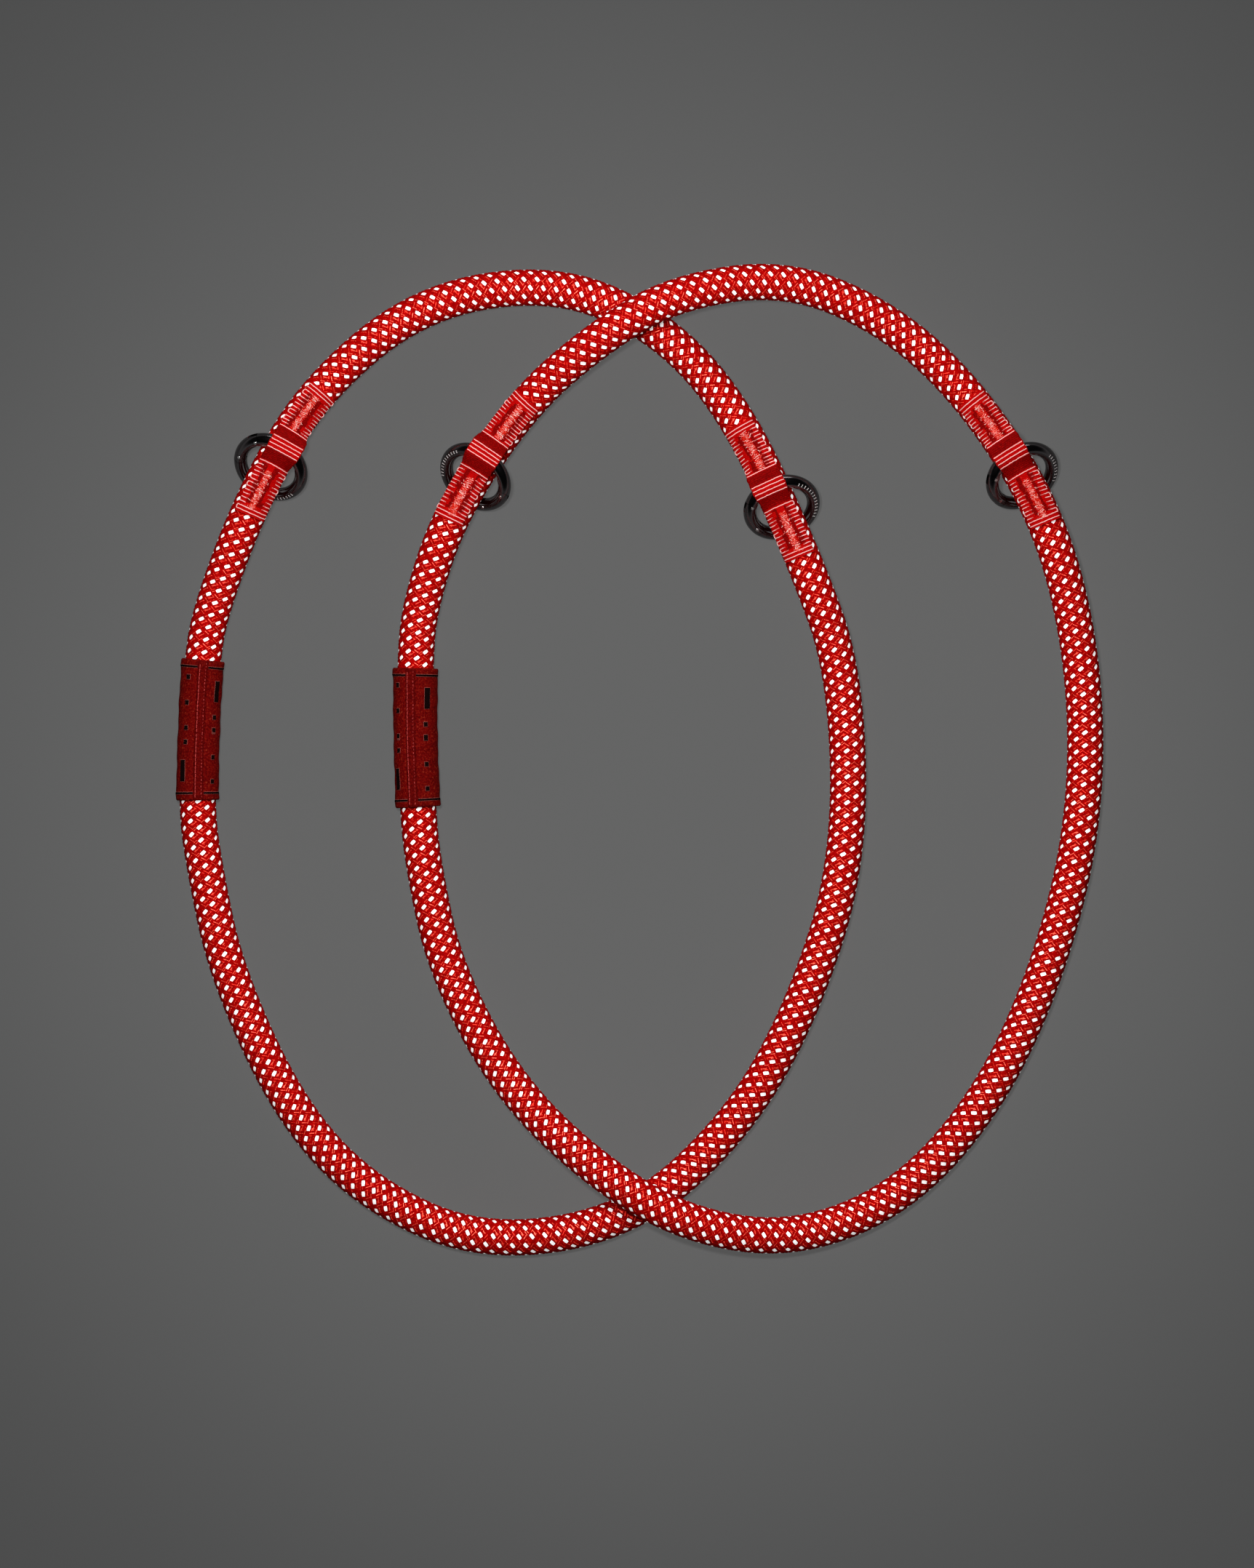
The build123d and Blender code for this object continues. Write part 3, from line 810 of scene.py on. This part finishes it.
def make_tape(ring):
    """Ribbed webbing, standing up as a tunnel over the ring's wire."""
    offsets, length = tape_offsets(ring)
    offset, share = np.meshgrid(offsets, np.linspace(-1, 1, 33), indexing="ij")
    run = np.linspace(0, length, len(offsets))[:, None] + np.zeros_like(share)

    def wave(pitch_mm):
        return np.cos(run * (2 * math.pi / (pitch_mm * MM)))

    raised = smooth_step(0.86, 0.97, np.abs(share))
    selvedge = SELVEDGE_MM * MM * raised * (0.7 + 0.3 * wave(RIB_PITCH_MM))
    thin = 1 - 0.5 * smooth_step(0.93, 1.0, np.abs(share))
    body = (TAPE_THICK_MM - WEAVE_MM) * MM + WEAVE_MM * MM * wave(RIB_PITCH_MM / 2)
    waved = share * (1 + 0.012 * wave(RIB_PITCH_MM * 2))
    upper = ring.tape_points(offset, waved, (body + selvedge) * thin)
    under = ring.tape_points(offset, waved, np.zeros_like(share))
    middles = ((grid[1:, 1:] + grid[:-1, :-1]) / 2 for grid in (offset / MM, share))
    # The tunnel's slopes get painted shade, and the spots beside the bartacks get the same darker
    # cloth.
    dark = slope_shade_and_spots(ring, *middles)
    points, faces = sheet_arrays(upper[:, ::-1], under[:, ::-1])
    slots = ["webbing_red", "webbing_red_shaded"]
    slot_of_face = dark[:, ::-1].ravel().astype(int)
    tape = make_mesh(f"webbing_tape_{ring.name}", points, faces, slots, slot_of_face)
    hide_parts(f"tape_{ring.name}")
    return tape


def rib_tracks(ring):
    """The lines of the reflective weft, as points (offset in mm, share across the tape).

    Four cross the tunnel and a few cross the tape's ends. The others run in from each
    selvedge, where some are joined in pairs.
    """
    rng = random.Random(f"ribs {ring.name}")
    tracks = []

    def across(at_mm, start, end, bend=0.0):
        """A slightly wavering line across the tape, bent along the rope at its start."""
        count = max(2, round(abs(end - start) * 9))
        track = []
        for step in range(count + 1):
            way_in = step / count
            along = at_mm + bend * (1 - way_in) ** 2 + rng.uniform(-0.04, 0.04)
            track.append((along, start + (end - start) * way_in))
        tracks.append(track)

    for index in range(4):
        across(ring.slide + RIB_PITCH_MM * (index - 1.5), -0.94, 0.94)
    count = int((TAPE_HALF_MM - 0.3 - RIBS_FROM_MM) / RIB_PITCH_MM)
    for way in (-1, 1):
        first = RIBS_FROM_MM + way * ring.slide
        for side in (-1, 1):
            joined = rng.random() < 0.5
            lean = rng.uniform(-0.2, 0.2)
            for index in range(count + 1):
                at_mm = way * (first + RIB_PITCH_MM * index) + rng.uniform(-0.07, 0.07)
                if 0 < index < count - 1:
                    inner = 0.45 + rng.uniform(-0.09, 0.12)
                    bend = lean + rng.uniform(-0.05, 0.05)
                    across(at_mm, side * inner, side * 0.92, bend)
                elif side == 1:
                    across(at_mm, -0.92, 0.92)
                if joined and index < count and rng.random() < 0.4:
                    pitch = way * RIB_PITCH_MM
                    bow = [(at_mm + pitch * part, side * out) for part, out in RIB_JOINS]
                    tracks.append(bow)
                joined = not joined
    return tracks


def make_ribs(ring):
    """The reflective weft, as thin bars that stand on the webbing."""
    starts, ends, outs, dims = [], [], [], []
    for track in rib_tracks(ring):
        track = np.array(track)
        offset, share = track[:, 0] * MM, track[:, 1]
        lift = np.full(len(track), (TAPE_THICK_MM + 0.04) * MM)
        points = ring.tape_points(offset, share, lift)
        out = unit(points - ring.tape_points(offset, share, lift * 0))
        starts += list(points[:-1])
        ends += list(points[1:])
        outs += list((out[:-1] + out[1:]) / 2)
        inside = (share[:-1] + share[1:]) / 2
        dims += [1 if abs(at) < 0.6 and len(track) < 8 else 0 for at in inside]
    starts, ends = np.array(starts), np.array(ends)
    over = (ends - starts) * 0.12
    ribs = bars(
        f"webbing_ribs_{ring.name}", starts - over, ends + over, outs, RIB_BAR,
        ["webbing_reflective", "webbing_reflective_dim"], dims,
    )
    return ribs


def tack_strokes(rng, slide):
    """Ends of the strokes of two sewn bars, in mm along and across, and their colours."""
    starts, ends, kinds = [], [], []

    def stroke(from_mm, from_side, to_mm, to_side):
        starts.append((from_mm, from_side))
        ends.append((to_mm, to_side))
        kinds.append(rng.choices([0, 1, 2], weights=[5, 5, 2])[0])

    for way, span in TACK_MM.items():
        first, last = (limit + way * slide for limit in span)
        place = first
        side = 1
        while place < last:
            step = rng.uniform(0.20, 0.36)
            far = TACK_HALF_MM * rng.uniform(0.45, 1.1)
            stroke(way * place, side * far, way * (place + step), -side * far)
            place += step
            side = -side
        for _ in range(190):
            middle, across = rng.uniform(first, last), rng.gauss(0, 0.55)
            lean, reach = rng.uniform(0, math.pi), rng.uniform(0.1, 0.42)
            along, aside = math.cos(lean) * reach, math.sin(lean) * reach
            stroke(way * (middle - along), across - aside, way * (middle + along), across + aside)
    return starts, ends, kinds


def make_bartacks(ring):
    """Two sewn bars: a dense tangle of short thread strokes over a zigzag."""
    rng = random.Random(f"bartacks {ring.name}")
    starts, ends, kinds = tack_strokes(rng, ring.slide)
    lift = np.array([TAPE_THICK_MM + rng.uniform(0.0, 0.2) for _ in starts]) * MM
    points = []
    for track in (np.array(starts), np.array(ends)):
        share = ring.tack_share() + track[:, 1] / (TAPE_WIDTH_MM / 2)
        points.append(ring.tape_points(track[:, 0] * MM, share, lift))
        if len(points) == 1:
            outs = unit(points[0] - ring.tape_points(track[:, 0] * MM, share, lift * 0))
    bartacks = bars(
        f"bartack_threads_{ring.name}", *points, outs, TACK_BAR,
        ["bartack_pink", "bartack_orange", "bartack_pale"], kinds,
    )
    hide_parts(f"bartacks_{ring.name}")
    return bartacks


# ---- sleeves


class SleeveSurface:
    """The sleeve's outside round a rope, with its pleat standing along one line."""

    def __init__(self, name):
        self.line = lines[name]
        self.__dict__.update(SLEEVES[name])
        self.turn = math.radians(self.roll)
        self.stripe = self.half - END_STRIPE_IN_MM

    def frame(self, offset):
        """The rope's frame either side of the join of its two ends."""
        offset = offset + self.past * MM
        return self.line.at(np.where(offset < 0, self.line.length + offset, offset))

    def points(self, offset, angle, lift):
        """Points lift metres above the cloth; the angle is from the pleat to the right."""
        place, _, up, right = self.frame(offset)
        outward = outward_at(angle + self.turn, up, right)
        along = offset / MM
        far = np.abs(along)
        around = np.abs(np.arctan2(np.sin(angle), np.cos(angle)) * self.outer)

        def groove(depth_mm, at_mm, half_mm):
            return depth_mm * np.exp(-(((around - at_mm) / half_mm) ** 2))

        pleat = 1 - smooth_step(PLEAT_HALF_MM - 0.3, PLEAT_HALF_MM + 0.1, around)
        hem = smooth_step(self.stripe - 0.4, self.stripe + 0.2, far)
        tuck = smooth_step(self.half - 0.5, self.half, far) ** 2
        waist = 1 - (along / self.half) ** 2
        slow = np.sin(along * 0.55 + self.outer + 2 * np.sin(angle))
        quick = np.sin(along * 1.3 - 3 * angle)
        relief = (
            PLEAT_HEIGHT_MM * pleat
            - groove(STITCH_DENT_MM, STITCH_AT_MM, 0.16)
            - groove(GUTTER_MM, PLEAT_HALF_MM + 0.4, 0.35)
            + HEM_MM * hem - TUCK_MM * tuck - WAIST_MM * waist
            + SLACK_MM[0] * slow + SLACK_MM[1] * quick
        )
        radius = (self.outer + relief) * MM + lift
        return place + outward * radius[..., None], outward


def make_sleeve(name):
    """The label cloth: a closed tube with a pleat that is darker than the rest, in painted shade
    of the fold.
    """
    surface = SleeveSurface(name)
    rows, columns = 160, 200
    offsets = np.linspace(-surface.half, surface.half, rows) * MM
    angles = np.linspace(-math.pi, math.pi, columns, endpoint=False)
    offset, angle = np.meshgrid(offsets, angles, indexing="ij")
    outer, _ = surface.points(offset, angle, np.zeros_like(offset))
    place, _, up, right = surface.frame(offset)
    inner = place + outward_at(angle + surface.turn, up, right) * SLEEVE_INNER_MM * MM
    points = np.concatenate([outer.reshape(-1, 3), inner.reshape(-1, 3)])
    outside = grid_faces(rows, columns, closed=True)
    faces = np.concatenate([outside, tube_inside(rows, rows, columns)])
    # The pleat and its foot get painted fold shade.
    on_pleat = np.abs(angles) * surface.outer < PLEAT_HALF_MM + 0.35
    slots, slot_of_face = ["sleeve_cloth", "sleeve_cloth_pleat"], np.tile(on_pleat, rows - 1)
    sleeve = make_mesh(f"label_cloth_{name}", points, faces, slots, slot_of_face)
    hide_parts(f"label_sleeve_{name}")
    return sleeve


def patch(surface, corners, lift_mm):
    """Points and faces of a thin raised patch of the surface inside a four-sided outline.

    corners are (along in mm, round in mm from the pleat), in order round the outline.
    """
    steps = np.linspace(0, 1, 9)
    u, v = np.meshgrid(steps, steps, indexing="ij")
    weights = [(1 - u) * (1 - v), u * (1 - v), u * v, (1 - u) * v]
    flat = sum(corner * weight[..., None] for corner, weight in zip(corners, weights))
    offset, angle = flat[..., 0] * MM, flat[..., 1] / surface.outer
    upper, _ = surface.points(offset, angle, np.full_like(offset, lift_mm * MM))
    under, _ = surface.points(offset, angle, np.full_like(offset, -0.08 * MM))
    first = np.cross(upper[1, 0] - upper[0, 0], upper[0, 1] - upper[0, 0])
    if first @ (upper[0, 0] - under[0, 0]) < 0:
        upper, under = upper[::-1], under[::-1]
    return sheet_arrays(upper, under)


def make_marks(name):
    """Plain generic marks on the cloth: end stripes, two bars and some small squares."""
    surface = SleeveSurface(name)
    points, faces, slot_of_face = [], [], []

    def rectangle(along, around, half_along, half_around):
        """A black rectangle with a pale edge just under it, except at a stripe's joins."""
        for slot, grow, lift_mm in MARK_LAYERS:
            reach = np.array([half_along + grow, half_around + grow * (half_around < 1.2)])
            corners = [along, around] + reach * [(-1, -1), (1, -1), (1, 1), (-1, 1)]
            patch_points, patch_faces = patch(surface, corners, lift_mm)
            faces.append(patch_faces + sum(len(block) for block in points))
            points.append(patch_points)
            slot_of_face.extend([slot] * len(patch_faces))

    pleat_foot = PLEAT_HALF_MM + 0.3
    wrap = math.pi * surface.outer - PLEAT_HALF_MM - 0.3
    half_part = wrap / (2 * END_STRIPE_PARTS)
    for end in (-1, 1):
        for part in range(END_STRIPE_PARTS):
            middle = pleat_foot + (part + 0.5) * wrap / END_STRIPE_PARTS
            for side in (-1, 1):
                rectangle(end * surface.stripe, side * middle, END_STRIPE_HALF_MM, half_part)
    for place in MARK_BARS:
        rectangle(*place, *MARK_BAR_HALF)
    for place in MARK_SQUARES:
        rectangle(*place, *MARK_SQUARE_HALF)
    marks = make_mesh(
        f"label_marks_{name}", np.concatenate(points), np.concatenate(faces),
        ["sleeve_black", "sleeve_pale"], slot_of_face,
    )
    return marks


def make_stitches(name):
    """Two rows of short stitches that close the pleat."""
    surface = SleeveSurface(name)
    rng = random.Random(f"stitches {name}")
    starts, ends, outs, kinds = [], [], [], []
    for side, length_mm, gap_mm in STITCH_ROWS:
        place = -surface.half + 0.8
        while place < surface.half - 1.2:
            length = length_mm * rng.uniform(0.85, 1.1)
            around = side * STITCH_AT_MM + rng.uniform(-0.05, 0.05)
            pair = np.array([place, place + length]) * MM
            angle, lift = np.full(2, around / surface.outer), np.full(2, 0.05 * MM)
            points, out = surface.points(pair, angle, lift)
            starts.append(points[0])
            ends.append(points[1])
            outs.append(out[0])
            kinds.append(0 if side < 0 else rng.choices([0, 1], weights=[1, 2])[0])
            place += length + gap_mm
    stitches = bars(
        f"label_stitches_{name}", starts, ends, outs, STITCH_BAR,
        ["sleeve_thread", "sleeve_thread_dim"], kinds,
    )
    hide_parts(f"label_seam_{name}")
    return stitches


# ---- rings


def make_ticks(ring):
    """A row of small plain ticks round part of the ring, on the side that faces up."""
    centre, right, towards = ring.ring_frame()
    normal = np.cross(right, towards)
    first, last = (math.radians(angle) for angle in ring.ticks)
    count = round((last - first) * RING_RADIUS_MM / 1.0)
    edges, outs = ([], []), []
    for index in range(count + 1):
        angle = first + (last - first) * index / count
        radial = right * math.cos(angle) + towards * math.sin(angle)
        tilted = [radial * math.sin(tilt) + normal * math.cos(tilt) for tilt in (0.0, 0.46)]
        for edge, out in zip(edges, tilted):
            edge.append(centre + (radial * RING_RADIUS_MM + out * WIRE_RADIUS_MM) * MM)
        outs.append(np.mean(tilted, axis=0))
    kinds = [0] * len(outs)
    ticks = bars(f"ring_ticks_{ring.name}", *edges, outs, TICK_BAR, ["plating_tick"], kinds)
    return ticks


# ---- the whole

lines = {name: Line(name) for name in ROUTES_MM}
rings = {name: Ring(name) for name in RINGS}

for name, line in lines.items():
    sheath = make_sheath(name)
    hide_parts(f"rope_sheath_{name}")
    tracers = make_tracers(name)
    on_rope = [tracers]
    for ring in rings.values():
        if ring.line is line:
            on_rope += [make_tape(ring), make_ribs(ring), make_bartacks(ring)]
    sleeve, marks, stitches = make_sleeve(name), make_marks(name), make_stitches(name)
    for piece in (sheath, *on_rope, sleeve, marks, stitches):
        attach(piece, f"loop_{name}")
for ring in rings.values():
    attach(make_ticks(ring), f"ring_{ring.name}")

CAD_LOOKS = {
    "rope_core": "core_yarn", "splice_wrap": "wrap_cloth", "ring_body": "black_plating",
    "gate": "black_plating", "pivot_pin": "pin_steel", "latch_pin": "pin_steel",
    "gate_spring": "spring_steel",
}
for node, piece in frame["nodes"].items():
    look = CAD_LOOKS.get(node.rsplit("_", 1)[0])
    if look:
        piece.data.materials.clear()
        piece.data.materials.append(materials[look])


# ---- table, lamps and camera


def make_floor():
    """Plain grey paper. Part of its light is its own, so that the shadows are weak."""
    nodes, links, shader = principled("floor_paper", FLOOR_GREY, 0.95, 0.0)
    place = nodes.new("ShaderNodeTexCoord")
    distance = nodes.new("ShaderNodeVectorMath")
    distance.operation = "LENGTH"
    links.new(place.outputs["Object"], distance.inputs[0])
    ramp = nodes.new("ShaderNodeMapRange")
    ramp.interpolation_type = "SMOOTHERSTEP"
    sockets = ("From Min", "From Max", "To Min", "To Max")
    for socket, value in zip(sockets, (*FLOOR_FADE, *FLOOR_GLOW)):
        ramp.inputs[socket].default_value = value
    links.new(distance.outputs["Value"], ramp.inputs["Value"])
    links.new(ramp.outputs["Result"], shader.inputs["Emission Strength"])
    shader.inputs["Emission Color"].default_value = (*FLOOR_TINT, 1)
    size, height = 6.0, -FLOOR_DROP_MM * MM
    corners = [(x * size, y * size, height) for x, y in ((-1, -1), (1, -1), (1, 1), (-1, 1))]
    mesh = bpy.data.meshes.new("floor")
    mesh.from_pydata(corners, [], [(0, 1, 2, 3)])
    mesh.materials.append(materials["floor_paper"])
    floor = add_object("floor", mesh)
    return floor


def make_camera():
    data = bpy.data.cameras.new("camera")
    data.sensor_fit = "HORIZONTAL"
    data.sensor_width = 36.0
    data.lens = data.sensor_width * (CAMERA_HEIGHT_MM - VIEW_PLANE_MM) / VIEW_WIDTH_MM
    data.clip_start = 0.01
    data.clip_end = 20
    camera = add_object("camera", data)
    camera.location = [value * MM for value in (*VIEW_CENTRE_MM, CAMERA_HEIGHT_MM)]
    bpy.context.scene.camera = camera


def make_lamp(name, floor):
    """A soft lamp that faces the middle of the table."""
    place, size, power, lights_floor = LAMPS[name]
    data = bpy.data.lights.new(name, "AREA")
    data.shape = "ELLIPSE"
    data.size, data.size_y = size
    data.energy = power
    lamp = add_object(name, data)
    lamp.location = place
    lamp.rotation_euler = Vector(place).to_track_quat("Z", "Y").to_euler()
    if not lights_floor:
        unlit = bpy.data.collections.new(f"unlit_by_{name}")
        unlit.objects.link(floor)
        unlit.collection_objects[0].light_linking.link_state = "EXCLUDE"
        lamp.light_linking.receiver_collection = unlit


def make_world():
    """A dark studio with paler walls low down."""
    world = bpy.data.worlds.new("studio")
    world.use_nodes = True
    nodes, links = world.node_tree.nodes, world.node_tree.links
    place = nodes.new("ShaderNodeTexCoord")
    split = nodes.new("ShaderNodeSeparateXYZ")
    links.new(place.outputs["Generated"], split.inputs["Vector"])
    stops = [(0.0, WALL_GREY), (WALL_TOP, WALL_GREY), (CEILING_FROM, CEILING_GREY)]
    colour = colour_steps(nodes, links, split.outputs["Z"], stops)
    links.new(colour, nodes["Background"].inputs["Color"])
    bpy.context.scene.world = world


floor = make_floor()
make_camera()
for name in LAMPS:
    make_lamp(name, floor)
make_world()
bpy.context.scene.view_settings.view_transform = "Standard"
